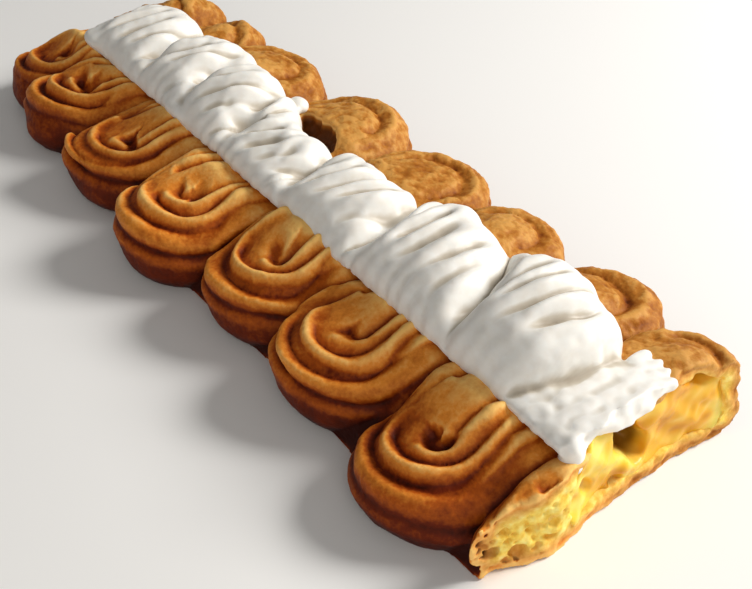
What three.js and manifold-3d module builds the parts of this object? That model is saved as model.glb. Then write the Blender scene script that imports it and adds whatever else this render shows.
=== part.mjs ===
// A choux pastry bar: two rows of star-piped hairpin shells baked together, a custard filling that
// runs through the middle and into one row, and a piped band of whipped cream on top. One end is cut.
//
// Millimetres. +X runs along the bar to the cut end, +Y to the row that the custard fills, +Z up.
// The bar rests on z = 0, and the model is centred on the origin at the end.
import * as THREE from "three";
import { mergeVertices } from "three/addons/utils/BufferGeometryUtils.js";
import Module from "manifold-3d";

const wasm = await Module();
wasm.setup();

// ---------------------------------------------------------------- driving dimensions

const LENGTH = 280;
const CUT_X = LENGTH / 2;
const FAR_X = -LENGTH / 2;
const GAP = 0.3; // clearance between neighbouring solids
const MERGE = 1e-3; // corners nearer than this are one corner
const BEYOND = 60; // how far cutting blocks reach past the bar

// The two rows of piped shells. x is a shell's place along the bar at the cream, reach how far it
// swells from the middle of the bar, lean how far along the bar that outermost point lies from x, and
// sag how much lower than its neighbours' its turn lies.
const ROWS = {
  crumb: {
    side: -1,
    shells: [
      { x: -119, reach: 42, lean: -18, width: 34 },
      { x: -86, reach: 47, lean: -26 },
      { x: -49, reach: 50, lean: -18 },
      { x: -7, reach: 52.5, lean: -12 },
      { x: 35, reach: 45.5, lean: -9 },
      { x: 75, reach: 47, lean: -9 },
      { x: 117, reach: 50.5, lean: -6, sag: 5 },
      { x: 156, reach: 47.5, lean: -5 },
    ],
  },
  filled: {
    side: 1,
    shells: [
      { x: -124, reach: 38, lean: 0 },
      { x: -97, reach: 44, lean: 2 },
      { x: -62, reach: 46, lean: 2 },
      { x: -17, reach: 45.5, lean: 3 },
      { x: 26, reach: 50, lean: 3 },
      { x: 62, reach: 50, lean: 3 },
      { x: 97, reach: 53, lean: 3 },
      { x: 132, reach: 50.5, lean: 3 },
    ],
  },
};

// One shell is a rope of choux bent into a hairpin: out from the middle, round, and back.
const SHELL = {
  ropeRadius: 0.285, // of the shell's width
  armOffset: 0.225, // of the shell's width, from the shell's middle to each arm
  innerY: 12, // where the arms start, under the cream
  turnInset: 20.5, // from a shell's reach in to the centre of its turn
  innerZ: 20.5, // height of the rope's centre where it starts
  turnZ: 12, // height of the rope's centre at the turn
  filledRise: 6, // how much higher the filled row's turns lie
  pitRadius: 2.2, // the hollow left inside the turn
  pitBlend: 1.2, // the same limit where the arms start, over the rope's radius
  ridges: 6, // ridges of the star tip that show, over ridgeArc
  ridgeArc: THREE.MathUtils.degToRad(222),
  ridgeDepth: 0.085, // of the rope's radius, each way
  armSteps: 2,
  turnSteps: 3,
  squash: 0.95, // height of the rope's section over its width
  tipScale: 0.72, // the rope's radius where it starts
};

// Under each hairpin the dough swells into a foot, and in the filled row into a puff between the arms.
// leanShare is how far along the shell's lean their middles lie.
const FOOT = { widthShare: 0.54, ry: 24, rz: 13, z: 7.5, leanShare: 0.7 };
const PUFF = { widthShare: 0.34, y: 26, ry: 15, z: 18.5, rz: 12.2, leanShare: 0.5 };

// The body that the shells stand on. Its outline is one side's, from the floor up, as (y, z).
const BODY = {
  outline: [
    [34, -2],
    [38, 6],
    [27, 18],
    [16, 24],
  ],
  ridgeZ: 26.5, // height in the middle, under the cream
  step: 12,
  endRound: 22, // length over which the far end closes
  endSteps: [0.5, 2, 5, 10], // rings in that length, from the end
  endHeight: 0.5, // of the full height, at the end itself
};

// Slow bends that leave no two shells alike. Each is a sine, and its wave lengths are shares of wave.
const WARP = {
  size: 1.1,
  wave: 31,
  alongX: 0.4,
  acrossY: 0.55,
  phaseY: 1.7,
  fadeY: 20, // nearer the middle than this, the bends across the bar fade
  fullZ: 24, // height at which the bends up and down are full
  upX: 0.37,
  upY: 0.5,
};

// Custard: a run along the middle, which swells to fill the last shell, where the cut shows it.
const CUSTARD = {
  floorZ: 4.5,
  leftY: -15,
  topZ: 29, // top in the middle, before the cream is laid on it
  farX: FAR_X + 20,
  closeOver: 12, // length over which the far end closes
  step: 9,
  middle: { y: 6, z: 14 },
  lowerCorner: 4, // height of the bevel along the floor
  shoulderSlope: { across: 10, down: 5 },
  leftBevel: { across: 8, down: 8 },
  bulge: 2, // how far the sides swell past the floor's edges
  run: { rightY: 25, shoulderZ: 17.5, topY: 7 },
  filling: { rightY: 43, shoulderZ: 27.5, topY: 15, x: 135, reach: 22 },
  cave: { y: 8.5, z: 17, radiusY: 4, radiusZ: 11, depth: 17, lean: THREE.MathUtils.degToRad(38) },
  caveFacets: { around: 14, along: 9 },
};

// Whipped cream, laid across the bar in passes of a star tip. Each mound is one group of passes:
// its middle, its half length along the bar, its top, and its edge on the filled row's side.
const CREAM = {
  farX: -124,
  nearX: CUT_X + 0.6,
  edgeZ: 29.5,
  leftY: -17,
  rightY: 16,
  bedZ: 27.3, // underside in the middle
  bedEdge: 1.2, // how far under edgeZ the underside meets the band's edges
  bedShare: 0.86, // of the band's half width, the underside's
  bandZ: 33.5, // top of the band between mounds
  ridgeStep: 4.7, // from a ridge to the next groove
  ridgeDepth: 1.3,
  bow: 5, // how far each pass bows towards the cut end
  skew: 3, // how far the crest of the band lies towards the filled row
  leftSlope: 1.2, // above 1 the side falls away gently, below 1 it stands up
  rightSlope: 0.8,
  arcSteps: 11,
  bedSteps: 4,
  endRound: 9, // length over which the far end closes
  endShare: 0.35, // of the full section, at the far end itself
  straightOver: 20, // length over which the bow and the ridges fade at both ends
  sideRidge: 0.6, // a ridge's depth at the band's sides, over its depth on top
  tail: { top: 34, length: 16, fall: 10 },
  // shift and spread are how much a mound's middle and half length change per mm of y.
  mounds: [
    { x: -97, reach: 20.5, top: 41.5, right: 18 },
    { x: -66, reach: 18.5, top: 43, right: 20, shift: 0.2 },
    { x: -40, reach: 17.5, top: 44.5, right: 17, shift: 0.25 },
    { x: -8, reach: 20.5, top: 38.5, right: 9, shift: 0.2 },
    { x: 28, reach: 21.5, top: 41, right: 14 },
    { x: 70, reach: 23, top: 44, right: 22, shift: -0.28, spread: -0.2 },
    { x: 107, reach: 18.5, top: 47.5, right: 21, shift: -0.1, spread: 0.35 },
  ],
  // Lobes that hang a little over the cut face.
  drips: [
    { x: CUT_X - 1.5, y: -11.5, z: 26, rx: 3.6, ry: 3.4, rz: 6.2 },
    { x: CUT_X - 2.5, y: 14, z: 31, rx: 3.8, ry: 3.6, rz: 3.4 },
  ],
};

// The knife wandered: the cut stands proud on the crumb side and falls back on the filled side.
const CUT = {
  proud: { y: -19, reach: 13, size: 4.5 },
  back: { y: 28, reach: 12, size: -1.8 },
  steps: 14,
  halfWidth: 60,
};

// Bubbles in the crumb that the knife opened: place on the cut face, and radius. They are longer
// along the bar than they are high, and their middles lie a little behind the cut.
const BUBBLES = [
  { y: -37, z: 8, r: 2.4 },
  { y: -29.5, z: 5.5, r: 2.7 },
  { y: -26, z: 11.5, r: 2.2 },
  { y: -20.5, z: 6.5, r: 1.7 },
  { y: -33.5, z: 13.5, r: 1.5 },
];
const BUBBLE = { long: 1.3, high: 0.8, behind: 0.2 };

// A torn blister beside the cream in the filled row.
const TEAR = { x: -14, y: 15.5, z: 30, rx: 14, ry: 4.2, rz: 5.5, turn: THREE.MathUtils.degToRad(-10) };

const LOOKS = {
  crust: { color: 0xb86a22, roughness: 0.5 },
  custard: { color: 0xe9b23c, roughness: 0.35 },
  cream: { color: 0xf3f1ea, roughness: 0.55 },
};

// ---------------------------------------------------------------- helpers

const lerp = THREE.MathUtils.lerp;
const smooth = (t) => THREE.MathUtils.smoothstep(t, 0, 1);
const clamped = (t) => THREE.MathUtils.clamp(t, 0, 1);

// A bump of height 1 at zero that falls to 0 at one reach.
const dome = (d, reach) => Math.sqrt(Math.max(0, 1 - (d / reach) ** 2));

function solidOf(geometry) {
  const bare = new THREE.BufferGeometry();
  bare.setAttribute("position", geometry.getAttribute("position"));
  bare.setIndex(geometry.index);
  const merged = mergeVertices(bare, MERGE);
  return new wasm.Manifold(
    new wasm.Mesh({
      numProp: 3,
      vertProperties: merged.attributes.position.array,
      triVerts: new Uint32Array(merged.index.array),
    }),
  );
}

function geometryOf(solid) {
  const mesh = solid.getMesh();
  const geometry = new THREE.BufferGeometry();
  geometry.setAttribute("position", new THREE.BufferAttribute(mesh.vertProperties, 3));
  geometry.setIndex(new THREE.BufferAttribute(mesh.triVerts, 1));
  geometry.computeVertexNormals();
  return geometry;
}

// A closed skin over rings of points, each ring running the same way round, with flat ends.
function loft(rings) {
  const around = rings[0].length;
  const points = rings.flat();
  const faces = [];
  for (let i = 0; i + 1 < rings.length; i++) {
    for (let j = 0; j < around; j++) {
      const a = i * around + j;
      const b = i * around + ((j + 1) % around);
      faces.push(a, b, b + around, a, b + around, a + around);
    }
  }
  const middle = (ring) => ring.reduce((sum, p) => sum.add(p), new THREE.Vector3()).divideScalar(around);
  const first = points.push(middle(rings[0])) - 1;
  const last = points.push(middle(rings.at(-1))) - 1;
  const lastRing = (rings.length - 1) * around;
  for (let j = 0; j < around; j++) {
    const k = (j + 1) % around;
    faces.push(first, k, j, last, lastRing + j, lastRing + k);
  }
  const geometry = new THREE.BufferGeometry().setFromPoints(points);
  geometry.setIndex(faces);
  const solid = solidOf(geometry);
  if (solid.volume() > 0) return solid;
  faces.reverse();
  geometry.setIndex(faces);
  return solidOf(geometry);
}

// Evenly spaced numbers from a to b, about one step apart.
function stations(a, b, step) {
  const count = Math.ceil((b - a) / step);
  return Array.from({ length: count + 1 }, (_, i) => lerp(a, b, i / count));
}

function ellipsoid({ x, y, z, rx, ry, rz, turn = 0 }, detail = 2, grow = 0) {
  const geometry = new THREE.IcosahedronGeometry(1, detail);
  geometry.scale(rx + grow, ry + grow, rz + grow);
  geometry.rotateZ(turn);
  geometry.translate(x, y, z);
  return solidOf(geometry);
}

// ---------------------------------------------------------------- pastry

// Each shell with its width, which is from its neighbours' places unless it has its own.
function shellsOf({ side, shells }) {
  const last = shells.length - 1;
  return shells.map((shell, i) => {
    const before = shells[Math.max(0, i - 1)].x;
    const after = shells[Math.min(last, i + 1)].x;
    const width = (after - before) / (i === 0 || i === last ? 1 : 2);
    return { width, ...shell, side, turnY: shell.reach - SHELL.turnInset };
  });
}

// Distances from the rope's centre to its surface round the section: ridges on top, plain below.
function ropeSection(radius) {
  const { ridges, ridgeArc, ridgeDepth } = SHELL;
  const section = [];
  const start = (Math.PI - ridgeArc) / 2;
  for (let i = 0; i <= 2 * ridges; i++) {
    const crest = i % 2 === 0 ? -1 : 1;
    section.push({ angle: start + (ridgeArc * i) / (2 * ridges), r: radius * (1 + ridgeDepth * crest) });
  }
  for (const turn of [1 / 3, 2 / 3]) {
    section.push({ angle: start + ridgeArc + (2 * Math.PI - ridgeArc) * turn, r: radius });
  }
  return section;
}

// Half of a hairpin, from the arm's start under the cream to the middle of the turn.
function halfHairpin({ x, width, side, lean, reach, turnY, sag = 0 }, way) {
  const { armSteps, turnSteps, squash, tipScale, pitRadius, pitBlend } = SHELL;
  const { innerY, innerZ, turnZ, filledRise } = SHELL;
  const offset = SHELL.armOffset * width;
  const radius = SHELL.ropeRadius * width;
  const endZ = turnZ - sag + (side > 0 ? filledRise : 0);
  const rings = [];
  for (let i = 0; i <= armSteps + turnSteps; i++) {
    const along = Math.min(1, i / armSteps);
    const turned = (Math.max(0, i - armSteps) / turnSteps) * (Math.PI / 2);
    const outward = new THREE.Vector2(Math.cos(turned), Math.sin(turned));
    const centre = new THREE.Vector2(0, lerp(innerY, turnY, along)).addScaledVector(outward, offset);
    const height = lerp(innerZ, endZ, smooth((centre.y - innerY) / (turnY + offset - innerY)));
    const scale = lerp(tipScale, 1, smooth(along * 2));
    // Nothing crosses the hollow inside the turn, and the arms blend into that limit.
    const limit = lerp(radius * pitBlend, offset - pitRadius, smooth(along));
    rings.push(
      ropeSection(radius * scale).map(({ angle, r }) => {
        const across = Math.max(-limit, r * Math.cos(angle));
        const px = (centre.x + across * outward.x) * way;
        const py = centre.y + across * outward.y;
        const leant = (lean * (py - innerY)) / (reach - innerY);
        return new THREE.Vector3(x + px + leant, side * py, height + squash * r * Math.sin(angle));
      }),
    );
  }
  return loft(rings);
}

// A rounded lump of dough at one shell, its middle at this distance from the bar's middle.
function lump({ x, width, side, lean }, { widthShare, ry, rz, z, leanShare }, out) {
  return ellipsoid({ x: x + lean * leanShare, y: side * out, z, rx: widthShare * width, ry, rz });
}

function shell(place) {
  const pieces = [-1, 1].map((way) => halfHairpin(place, way));
  pieces.push(lump(place, FOOT, place.reach - FOOT.ry));
  if (place.side > 0) pieces.push(lump(place, PUFF, PUFF.y));
  return pieces;
}

function body() {
  const { outline, ridgeZ, step, endRound, endSteps, endHeight } = BODY;
  const places = [...endSteps.map((x) => FAR_X + x), ...stations(FAR_X + endRound, CUT_X + BEYOND / 4, step)];
  const rings = places.map((x) => {
    const close = dome(Math.max(0, FAR_X + endRound - x), endRound);
    const lower = lerp(endHeight, 1, close);
    const half = (side) => outline.map(([y, z]) => new THREE.Vector3(x, side * y * close, z * lower));
    return [...half(1), new THREE.Vector3(x, 0, ridgeZ * lower), ...half(-1).reverse()];
  });
  return loft(rings);
}

// Slow sine bends, smaller near the floor so that the flat underside stays wide.
function bent(geometry) {
  const { size, wave, alongX, acrossY, phaseY, fadeY, fullZ, upX, upY } = WARP;
  const points = geometry.getAttribute("position");
  for (let i = 0; i < points.count; i++) {
    const { x, y, z } = new THREE.Vector3().fromBufferAttribute(points, i);
    const fade = Math.sign(y) * Math.min(1, Math.abs(y) / fadeY);
    points.setXYZ(
      i,
      x + size * Math.sin(y / (wave * alongX) + x / wave),
      y + size * fade * Math.sin(x / (wave * acrossY) + phaseY),
      z + (z / fullZ) * size * Math.sin(x / (wave * upX) + y / (wave * upY)),
    );
  }
  return geometry;
}

// The largest body of a solid: the crumbs that a cut leaves loose are dropped.
function largest(solid) {
  const pieces = solidOf(geometryOf(solid)).decompose();
  return pieces.reduce((best, piece) => (piece.volume() > best.volume() ? piece : best));
}

const cutAt = (y) =>
  [CUT.proud, CUT.back].reduce((x, b) => x + b.size * Math.exp(-(((y - b.y) / b.reach) ** 2)), CUT_X);

// Everything past the knife's path.
function pastTheCut() {
  const { steps, halfWidth } = CUT;
  const shape = new THREE.Shape();
  shape.moveTo(CUT_X + BEYOND, halfWidth);
  shape.lineTo(CUT_X + BEYOND, -halfWidth);
  for (let i = 0; i <= steps; i++) {
    const y = lerp(-halfWidth, halfWidth, i / steps);
    shape.lineTo(cutAt(y), y);
  }
  const geometry = new THREE.ExtrudeGeometry(shape, { depth: 2 * BEYOND, bevelEnabled: false });
  geometry.translate(0, 0, -BEYOND / 2);
  return solidOf(geometry);
}

function underTheFloor() {
  const geometry = new THREE.BoxGeometry(LENGTH + 2 * BEYOND, 4 * BEYOND, BEYOND);
  geometry.translate(0, 0, -BEYOND / 2);
  return solidOf(geometry);
}

// ---------------------------------------------------------------- custard

function custardBlock(grow = 0) {
  const { floorZ, leftY, topZ, farX, closeOver, step, middle, run, filling } = CUSTARD;
  const { lowerCorner, shoulderSlope, leftBevel, bulge } = CUSTARD;
  const rings = stations(farX, CUT_X + BEYOND / 4, step).map((x, i) => {
    const close = dome(Math.max(0, farX + closeOver - x), closeOver + bulge);
    const fill = dome(Math.max(0, filling.x - x), filling.reach);
    const right = lerp(run.rightY, filling.rightY, fill);
    const shoulder = lerp(run.shoulderZ, filling.shoulderZ, fill);
    const outline = [
      [right - bulge, floorZ],
      [right, floorZ + lowerCorner],
      [right - bulge, shoulder - shoulderSlope.down],
      [right - bulge - shoulderSlope.across, shoulder],
      [lerp(run.topY, filling.topY, fill), topZ],
      [leftY + leftBevel.across, topZ],
      [leftY, topZ - leftBevel.down],
      [leftY - bulge, floorZ + 2 * lowerCorner],
      [leftY + bulge, floorZ],
    ];
    return outline.map(([y, z]) => {
      const out = new THREE.Vector2(y - middle.y, z - middle.z);
      out.multiplyScalar(close).setLength(out.length() + grow);
      return new THREE.Vector3(i === 0 ? x - grow : x, middle.y + out.x, middle.z + out.y);
    });
  });
  return loft(rings);
}

// The hollow in the filling: a slanting pocket, open at the cut.
function cave() {
  const { y, z, radiusY, radiusZ, depth, lean } = CUSTARD.cave;
  const geometry = new THREE.SphereGeometry(1, CUSTARD.caveFacets.around, CUSTARD.caveFacets.along);
  geometry.scale(depth, radiusY, radiusZ);
  geometry.rotateX(lean);
  geometry.translate(CUT_X, y, z);
  return solidOf(geometry);
}

// ---------------------------------------------------------------- whipped cream

// Top of the band at a place: mounds over a lower band, with a low tail at the cut.
function creamTop(x, y) {
  const { mounds, bandZ, nearX, tail } = CREAM;
  const tops = mounds.map((mound) => {
    const { shift = 0, spread = 0 } = mound;
    return lerp(bandZ, mound.top, dome(x - mound.x - shift * y, mound.reach + spread * y));
  });
  return lerp(Math.max(bandZ, ...tops), tail.top, smooth((x - (nearX - tail.length)) / tail.fall));
}

// The band's edge on the filled row's side.
function creamRight(x) {
  const { mounds, rightY } = CREAM;
  return mounds.reduce((y, mound) => y + (mound.right - rightY) * dome(x - mound.x, mound.reach) ** 2, rightY);
}

function creamBand(grow = 0) {
  const { farX, nearX, edgeZ, leftY, bedZ, bedEdge, bedShare, ridgeStep, ridgeDepth, sideRidge } = CREAM;
  const { bow, skew, leftSlope, rightSlope, arcSteps, bedSteps, endRound, endShare, straightOver } = CREAM;
  const places = stations(farX, nearX, ridgeStep);
  const rings = places.map((x, i) => {
    const right = creamRight(x);
    const close = lerp(endShare, 1, dome(Math.max(0, farX + endRound - x), endRound));
    const straight = clamped((nearX - x) / straightOver) * clamped((x - farX) / straightOver);
    const crest = (i % 2 === 0 ? -1 : 1) * ridgeDepth * straight;
    const middleY = (leftY + right) / 2;
    const halfY = (right - leftY) / 2;
    const outline = [];
    for (let k = 0; k <= arcSteps; k++) {
      const angle = (Math.PI * k) / arcSteps;
      const rise = Math.sin(angle);
      const y = middleY + (halfY + crest * sideRidge) * Math.cos(angle) + skew * rise ** 2;
      const top = creamTop(x, y) + crest;
      const z = edgeZ + (top - edgeZ) * rise ** (angle > Math.PI / 2 ? leftSlope : rightSlope);
      outline.push([x + bow * straight * (rise ** 2 - 0.5), y, z]);
    }
    for (let k = 1; k < bedSteps; k++) {
      const across = lerp(-1, 1, k / bedSteps);
      outline.push([x, middleY + halfY * bedShare * across, lerp(bedZ, edgeZ - bedEdge, across ** 2)]);
    }
    const middle = new THREE.Vector2(middleY, (bedZ + creamTop(x, middleY)) / 2);
    const push = i === 0 ? -2 * grow : i === places.length - 1 ? 2 * grow : 0;
    return outline.map(([px, y, z]) => {
      const out = new THREE.Vector2(y, z).sub(middle).multiplyScalar(close);
      out.setLength(out.length() + 2 * grow);
      return new THREE.Vector3(px + push, middle.x + out.x, middle.y + out.y);
    });
  });
  return CREAM.drips.reduce((solid, drip) => solid.add(ellipsoid(drip, 2, 2 * grow)), loft(rings));
}

// ---------------------------------------------------------------- the bar

function bubble({ y, z, r }) {
  const { long, high, behind } = BUBBLE;
  return ellipsoid({ x: cutAt(y) - r * behind, y, z, rx: r * long, ry: r, rz: r * high }, 1);
}

function pastry() {
  const shells = [ROWS.crumb, ROWS.filled].flatMap(shellsOf).flatMap(shell);
  const joined = shells.reduce((all, piece) => all.add(piece), body());
  const cutters = [underTheFloor(), pastTheCut(), custardBlock(2 * GAP), creamBand(GAP), ellipsoid(TEAR)];
  cutters.push(...BUBBLES.map(bubble));
  return cutters.reduce((solid, cutter) => solid.subtract(cutter), solidOf(bent(geometryOf(joined))));
}

const custard = () => custardBlock().subtract(pastTheCut()).subtract(creamBand(GAP)).subtract(cave());

function mesh(name, solid, look) {
  const made = new THREE.Mesh(geometryOf(solid), new THREE.MeshStandardMaterial({ ...look, metalness: 0 }));
  made.name = name;
  return made;
}

const bar = new THREE.Group();
bar.add(
  mesh("pastry", largest(pastry()), LOOKS.crust),
  mesh("custard", custard(), LOOKS.custard),
  mesh("whipped_cream", creamBand(), LOOKS.cream),
);

// The origin is the middle of the underside's box.
const box = new THREE.Box3().setFromObject(bar);
const centre = box.getCenter(new THREE.Vector3());
bar.position.set(-centre.x, -centre.y, -box.min.z);

export default bar;
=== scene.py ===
"""A choux pastry bar: two rows of star-piped shells, custard, and a piped band of whipped cream.

Every form is worked out as a distance in millimetres, negative inside, on a grid that is then
meshed, so that lobes of dough and cream run into each other as soft ones do. Most sizes are those
that the solids were made from. +X runs along the bar to the cut end, +Y to the row that the
custard fills, +Z up.
"""

import math

import bpy
import numpy as np
import openvdb
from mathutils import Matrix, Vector


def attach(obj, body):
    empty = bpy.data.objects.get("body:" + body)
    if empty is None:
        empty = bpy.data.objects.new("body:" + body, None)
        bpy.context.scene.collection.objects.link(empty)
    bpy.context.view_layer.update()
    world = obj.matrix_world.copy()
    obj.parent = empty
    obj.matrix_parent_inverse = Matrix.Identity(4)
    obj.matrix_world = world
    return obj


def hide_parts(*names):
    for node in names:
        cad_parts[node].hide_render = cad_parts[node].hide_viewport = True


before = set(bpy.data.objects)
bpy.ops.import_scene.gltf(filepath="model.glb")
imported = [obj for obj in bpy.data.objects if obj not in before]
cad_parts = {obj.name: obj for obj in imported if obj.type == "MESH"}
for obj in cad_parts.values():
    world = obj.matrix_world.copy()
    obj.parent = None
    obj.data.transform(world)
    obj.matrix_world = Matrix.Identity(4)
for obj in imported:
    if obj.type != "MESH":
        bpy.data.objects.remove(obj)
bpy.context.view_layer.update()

# ---------------------------------------------------------------- sizes, in millimetres

MM = 0.001
SHIFT = np.array([2.583, 0.702, 0.0])  # from the frame of the sizes below to the row frame
GRID_STEP = 0.5
EMPTY = 12.0  # the distance where nothing is near

CUT_X = 140.0
FAR_X = -140.0
# Where the knife went further out or in: how far, at which y, and over what half width.
CUT_BULGES = [(4.5, -19, 13), (-1.8, 28, 12)]
# Uneven waves of an edge: depth and size.
KNIFE_WAVES = [(0.5, 9.0), (0.3, 3.4)]
TORN_WAVES = [(1.3, 12.0), (0.6, 4.0)]

# Corners of the space that each form is worked out in, and of the parts of the pastry's space
# that hold its body and the hollows for the custard and the cream.
PASTRY_SPACE = ((-150, -57, -2), (147, 58, 36))
CUSTARD_SPACE = ((FAR_X, -20, 2), (145, 48, 32))
CREAM_SPACE = ((-130, -26, 22), (147, 30, 52))
BODY_SPACE = ((-150, -45, -2), (147, 45, 30))
CUSTARD_HOLLOW = ((FAR_X, -24, 3), (147, 48, 36))
CREAM_HOLLOW = ((FAR_X, -26, 24), (147, 30, 36))

# The shells of the two rows. x is a shell's place at the cream, reach how far it swells from the
# middle, lean how far along the bar that outermost point lies from x, ridge how deep the ridges on
# its wall are, over the height of its rounded top, and sag how far its outer end sinks.
CRUMB_ROW = [
    dict(x=-119, reach=42, lean=-18, width=34, ridge=0.035),
    dict(x=-86, reach=47, lean=-26, ridge=0.09),
    dict(x=-49, reach=50, lean=-18, ridge=0.11),
    dict(x=-7, reach=52.5, lean=-12, ridge=0.11),
    dict(x=35, reach=45.5, lean=-9, ridge=0.11),
    dict(x=75, reach=47, lean=-9, ridge=0.12),
    dict(x=117, reach=50.5, lean=-6, ridge=0.12, sag=5),
    dict(x=156, reach=47.5, lean=-5, ridge=0.03),
]
FILLED_ROW = [
    dict(x=-124, reach=38, lean=0, ridge=0.03),
    dict(x=-97, reach=44, lean=2, ridge=0.04),
    dict(x=-62, reach=46, lean=2, ridge=0.045),
    dict(x=-17, reach=45.5, lean=3, ridge=0.05),
    dict(x=26, reach=50, lean=3, ridge=0.05),
    dict(x=62, reach=50, lean=3, ridge=0.045),
    dict(x=97, reach=53, lean=3, ridge=0.04),
    dict(x=132, reach=50.5, lean=3, ridge=0.02),
]
# The strokes of a star tip round each shell: radius over the shell's half width, where along the
# hairpin it starts and ends (-1 to 1 is the turn, and beyond that are the arms), height (grooves
# below 0) and half width.
CRUMB_STROKES = [
    (0.95, -1.1, 1.5, 1.1, 1.6),
    (0.80, -1.2, 1.7, -1.5, 1.4),
    (0.64, -1.5, 1.9, 1.4, 1.8),
    (0.47, -0.7, 2.0, -1.6, 1.4),
    (0.31, -0.3, 2.0, 1.0, 1.4),
    (0.18, 0.6, 2.1, -1.3, 1.3),
    (0.10, -1.0, 1.0, -2.8, 2.3),
    (0.52, -2.1, -1.2, -1.4, 1.4),
]
FILLED_STROKES = [
    (0.62, -1.3, 1.4, -1.5, 1.8),
    (0.82, -1.2, 1.3, 0.9, 2.2),
]
SPIRAL = 0.14  # the share of its radius that a stroke loses for each unit along the hairpin
ARM_STEP = 22.0  # length of arm for each unit beyond the turn
ARM_TAPER = 0.3  # the share by which the arms close in on each other over that length
TURN_DEPTH = 0.95  # of the turn's half width
STROKE_POINTS = 9
# The most that the draws change in a shell (twist and shift) and in each of its strokes.
CHANGES = dict(twist=0.3, shift=2.5, first=0.3, last=0.4, wobble=0.9)
CHANGES.update(height=(0.75, 1.3), radius=(0.93, 1.07))
CREST_HEIGHT = 1.1  # factors on the heights and half widths of all crests and grooves
PLEAT_DEPTH = 1.2
PLEAT_WIDTH = 1.25
PLEAT_FOOT = 3.0  # the pleats start at this height and grow over the next few mm
PLEAT_RISE = 6.0
PIT = 2.4  # what is deeper than this is a rounded pit, and the rest are creases between round bands
GROOVE_REACH = 2.4  # from a crease's middle to its edge, in half widths
INNER_Y = 12.0  # where the arms of a hairpin start, under the cream
ARM_END = -30.0  # where the arms end, past the bar's middle, before the shell is cut off there
TURN_INSET = 20.5  # from a shell's reach in to the centre of its turn
OUTLINE = 0.51  # a shell's outline, as a half width over its width
ROPE_RADIUS = 0.285  # of what the tip pipes, over the shell's width
ARM_OFFSET = 0.225  # from the hairpin's middle to an arm's, over the shell's width
INNER_Z = 20.5  # how high a shell is widest at the cream
TURN_Z = 12.0  # the same at its turn in the crumb row
FILLED_RISE = 6.0  # how much higher that is in the filled row
TILT = 0.05  # how much a shell's top falls for each mm towards the cut
CRUMB_FLATNESS = 1.4  # 1 for an elliptical top, more for one that stays high nearly to its edge
FILLED_FLATNESS = 2.4
RIDGE_START = math.radians(-21)  # how far round the rounded top the first ridge of the wall begins
RIDGE_STEP = math.radians(37)
WALL_ANGLE = math.radians(70)  # where the wall's even ridges give way to the pleats
SQUASH = 0.95  # height over width of what the tip pipes
TIP_SCALE = 0.72  # how high the top is at the cream, over that at the turn
SHELL_BLEND = 1.4  # over how many mm the shells run into each other
# The widening at a shell's foot, and what swells under the filled row's. share is the half width
# over the shell's width, and lean the share of its lean.
FOOT = dict(share=0.52, ry=22.5, rz=12.0, z=7.0, lean=0.7, blend=3.0)
PUFF = dict(share=0.36, y=26.0, ry=17.0, z=18.5, rz=12.4, lean=0.5, blend=4.0)
WARP = dict(size=1.1, wave=31.0)  # the slow bends of all the dough
# The dough under the shells: how high it is at some distances from the middle, and its far end.
BODY = dict(across=[0, 16, 27, 38, 46], top=[26.5, 24, 18, 6, -12], slope=0.8)
BODY.update(end_round=22.0, end_height=0.5)
CRUST = dict(thickness=1.0, fade=1.0, under=0.9)  # under is the crust on the underside
ROW_FADE = 16  # over how many mm across the bar one row's crust turns into the other's
# The torn hole beside the cream. space is half the box that it is worked out in.
TEAR = dict(place=(-14, 16.0, 29.5), radii=(13, 4.4, 5.5), space=(15, 10, 8), turn=math.radians(-10))
# The pairs are what the custard's outline has in the run, and where it fills the last shell.
CUSTARD = dict(floor_z=4.5, left_y=-15.0, top_z=29.0, far_x=FAR_X + 20, fill_x=135, fill_round=22.0)
CUSTARD.update(right=(25, 43), shoulder=(17.5, 27.5), top_y=(7, 15))
# Hollows in the custard at the cut: place, half sizes, lean and how torn they are. The first is the
# slanting pocket, the next lies under the thin crust, and the others are dents of the knife.
POCKETS = [
    ((CUT_X, 8.5, 17), (17, 4.4, 11), math.radians(38), 0.9),
    ((CUT_X + 1, 35, 26), (9, 9, 3.6), math.radians(-14), 0.6),
    ((CUT_X + 1, 4.5, 6.5), (4.0, 2.4, 1.8), 0.0, 0.4),
    ((CUT_X + 1, 24, 12), (3.4, 5.0, 2.2), math.radians(25), 0.6),
    ((CUT_X + 1, 34, 14), (3.0, 2.4, 3.6), math.radians(-20), 0.6),
    ((CUT_X + 2.5, -8, 13), (3.4, 2.4, 4.6), math.radians(30), 0.6),
]
# Crumbs that stick out under the cut: place and half sizes.
CRUMBS = [
    (CUT_X + 2.5, -19, 1.8, (3.0, 2.6, 2.0)),
    (CUT_X - 0.5, -4.5, 1.5, (2.8, 2.2, 1.7)),
    (CUT_X - 2.5, 22, 1.4, (2.2, 3.0, 1.5)),
]
CUT_ZONE = dict(start=108, run=14)  # where the inside of the dough shows as crumb, and not as torn
TORN_LOWEST = 16
# Bubbles in the crumb at the cut: y, z and radius, and the same as ranges for the small ones.
BUBBLES = [(-37, 8, 2.4), (-29.5, 5.5, 2.7), (-26, 11.5, 2.2), (-20.5, 6.5, 1.7), (-33.5, 13.5, 1.5)]
SMALL_BUBBLES = dict(count=80, y=(-42, -16), z=(2, 20), radius=(0.4, 1.0))

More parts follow.
